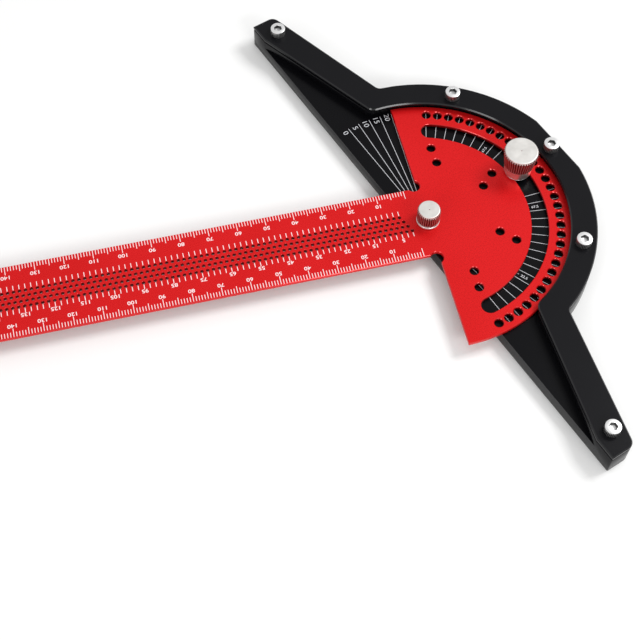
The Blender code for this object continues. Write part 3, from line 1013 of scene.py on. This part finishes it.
def build_knob(node, name, material, body, radii, collar, teeth, shank, pitch):
    """A knurled thumb screw with a flat top, a bright rim and a plain collar."""
    low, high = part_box(node)
    washer_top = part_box(node.replace("knob", "washer"))[1].z
    base_radius, top_radius = radii
    base = washer_top + KNOB_GAP
    top = high.z
    face = top_radius - RIM_CHAMFER
    # The knurl, the foot under the rim and the centre dot get painted shade, which the knob
    # material tints red as a painted reflection of the blade
    rings = [
        (top - CENTRE_DOT_RADIUS, CENTRE_POINT_RADIUS, "groove_end"),
        (top, CENTRE_DOT_RADIUS, "round"),
    ]
    rings += [(top - depth, face + reach, "round") for depth, reach in RIM_PROFILE]
    rings += [
        (top - RIM_DROP - RIM_FOOT[0], face + RIM_FOOT[1], "groove_end"),
        (top - RIM_DROP - RIM_CHAMFER, top_radius, "knurl"),
    ]
    if collar:
        collar_top = base + collar
        collar_radius = base_radius + (top_radius - base_radius) * collar / (top - base)
        rings += [
            (collar_top, collar_radius, "knurl"),
            (collar_top - COLLAR_DROP, collar_radius - COLLAR_EDGE, "round"),
            (base + COLLAR_EDGE, base_radius, "round"),
            (base, base_radius - COLLAR_EDGE, "round"),
        ]
    else:
        rings += [
            (base + KNOB_BASE_EDGE, base_radius, "knurl"),
            (base, base_radius - KNOB_BASE_EDGE, "round"),
        ]
    rings.append((base, shank, "round"))
    rings += thread_rings(base - PLAIN_SHANK, low.z, shank, pitch)
    steps = teeth * KNURL_STEPS
    mesh = turned_mesh(name, rings, steps, teeth, KNURL_DEPTH, smooth_angle=KNURL_SMOOTH_ANGLE)
    axis = (low + high) / 2
    piece = add_piece(name, mesh, material, body, (axis.x, axis.y, 0))
    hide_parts(node)


def build_washer(node, name, material, body, bore):
    low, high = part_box(node)
    axis = (low + high) / 2
    radius = (high.x - low.x) / 2
    rings = [
        (high.z, bore + WASHER_EASE, "round"),
        (high.z, radius - WASHER_EASE, "round"),
        (high.z - WASHER_EASE, radius, "round"),
        (low.z + WASHER_EASE, radius, "round"),
        (low.z, radius - WASHER_EASE, "round"),
        (low.z, bore + WASHER_EASE, "round"),
        (low.z + WASHER_EASE, bore, "round"),
        (high.z - WASHER_EASE, bore, "round"),
    ]
    mesh = turned_mesh(name, rings, WASHER_STEPS, loop=True)
    piece = add_piece(name, mesh, material, body, (axis.x, axis.y, 0))
    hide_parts(node)


# Studio


def build_floor():
    edit = bmesh.new()
    bmesh.ops.create_grid(edit, x_segments=1, y_segments=1, size=PAPER_HALF_SIZE)
    mesh = bpy.data.meshes.new("floor")
    edit.to_mesh(mesh)
    edit.free()
    floor = temporary("floor", mesh)
    floor.location.z = -PAPER_DROP
    material, tree, shader = new_material("floor_paper")
    shader.inputs["Roughness"].default_value = 0.9
    shader.inputs["Specular IOR Level"].default_value = 0.1
    shader.inputs["Emission Color"].default_value = (1, 1, 1, 1)
    shader.inputs["Emission Strength"].default_value = 0.05
    clouds = add_noise(tree, PAPER_CLOUD_SCALE)
    tree.links.new(add_blend(tree, clouds, PAPER), shader.inputs["Base Color"])
    mesh.materials.append(material)


def add_area_light(name, location, width, height, watts):
    """A softbox that faces the object."""
    light = bpy.data.lights.new(name, "AREA")
    light.shape = "RECTANGLE"
    light.size = width
    light.size_y = height
    light.energy = watts
    lamp = temporary(name, light)
    lamp.location = location
    lamp.rotation_euler = (-Vector(location)).to_track_quat("-Z", "Y").to_euler()


def build_studio():
    world = bpy.data.worlds.new("studio")
    world.use_nodes = True
    background = world.node_tree.nodes["Background"]
    background.inputs["Color"].default_value = (1.0, 1.0, 1.0, 1)
    background.inputs["Strength"].default_value = SKY_STRENGTH
    bpy.context.scene.world = world
    for softbox in SOFTBOXES:
        add_area_light(*softbox)
    bpy.context.scene.view_settings.view_transform = "Standard"


def build_camera():
    camera = bpy.data.cameras.new("camera")
    camera.lens = CAMERA_LENS
    camera.sensor_width = CAMERA_SENSOR
    holder = temporary("camera", camera)
    right = Vector(CAMERA_RIGHT)
    up = Vector(CAMERA_UP)
    place = Matrix((right, up, right.cross(up))).transposed().to_4x4()
    place.translation = Vector(CAMERA_PLACE)
    holder.matrix_world = place
    bpy.context.scene.camera = holder


def main():
    materials = build_materials()
    build_handle(materials["handle"])
    build_floor_scale(materials["floor_scale"])
    build_cover(materials["cover"])
    build_screws(materials["screws"])
    build_blade(materials["blade"])
    build_blade_scale(materials["blade_scale"])
    build_knob(
        "pivot_knob",
        "pivot_thumb_screw",
        materials["knobs"],
        "pivot_knob",
        (PIVOT_KNOB_RADIUS, PIVOT_KNOB_RADIUS),
        0.0,
        PIVOT_KNOB_TEETH,
        PIVOT_SHANK_RADIUS,
        PIVOT_THREAD_PITCH,
    )
    build_knob(
        "lock_knob",
        "lock_thumb_screw",
        materials["knobs"],
        "lock_knob",
        (LOCK_KNOB_BASE_RADIUS, LOCK_KNOB_RADIUS),
        LOCK_COLLAR_HEIGHT,
        LOCK_KNOB_TEETH,
        LOCK_SHANK_RADIUS,
        LOCK_THREAD_PITCH,
    )
    washers = materials["washers"]
    lock_bore = LOCK_SHANK_RADIUS + CLEARANCE
    build_washer("pivot_washer", "pivot_ring", washers, "pivot_washer", BUSH_BORE_RADIUS)
    build_washer("lock_washer", "lock_ring", washers, "lock_washer", lock_bore)
    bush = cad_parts["pivot_bush"]
    bush.data.materials.clear()
    bush.data.materials.append(materials["bush"])

    build_floor()
    build_studio()
    build_camera()


main()
